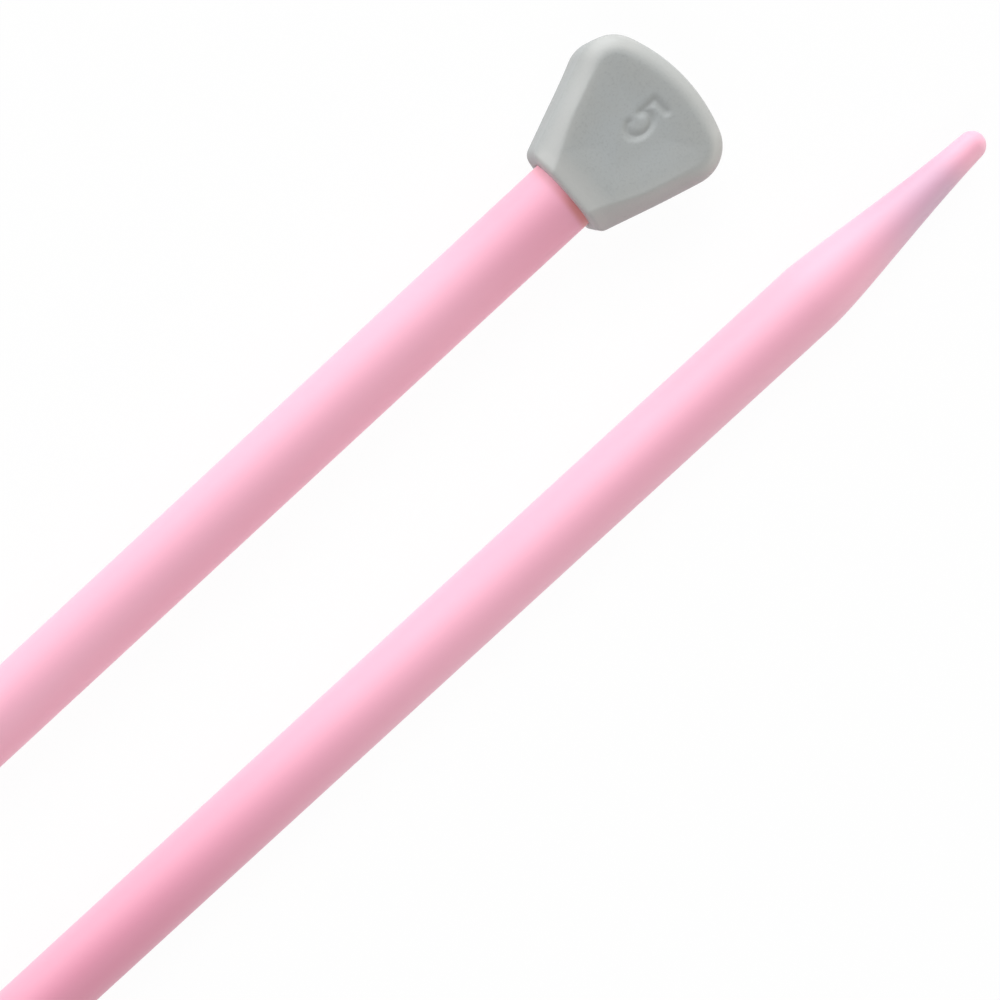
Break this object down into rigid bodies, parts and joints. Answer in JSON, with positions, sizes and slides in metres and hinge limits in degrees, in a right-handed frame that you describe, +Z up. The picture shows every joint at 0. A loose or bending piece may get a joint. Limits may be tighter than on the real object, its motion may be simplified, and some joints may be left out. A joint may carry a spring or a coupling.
{
  "type": "knitting needle pair",
  "caption": "Pair of straight knitting needles, each a round satin shaft with a tapered round-ended point and a flat fan-shaped stopper head, lying side by side end for end.",
  "frame": {"origin": "on the surface the needles lie on, under the middle of the pair", "axes": "+X along the needles, towards the first needle's head and the second needle's point; +Y from the second needle to the first; +Z up from the surface"},
  "size_m": [0.2634, 0.028, 0.0068],
  "materials": {
    "shaft_plastic": "satin pale pink, drawn lengthwise",
    "head_plastic": "fine satin moulded grey"
  },
  "bodies": {
    "first_needle": {"first_needle_shaft": "shaft_plastic", "first_needle_head": "head_plastic"},
    "second_needle": {"second_needle_shaft": "shaft_plastic", "second_needle_head": "head_plastic"}
  },
  "joints": [
    {"name": "second_needle_lift", "type": "slide", "parent": "first_needle", "child": "second_needle", "axis": [0, 0, 1], "range_m": [0, 0.06]}
  ]
}
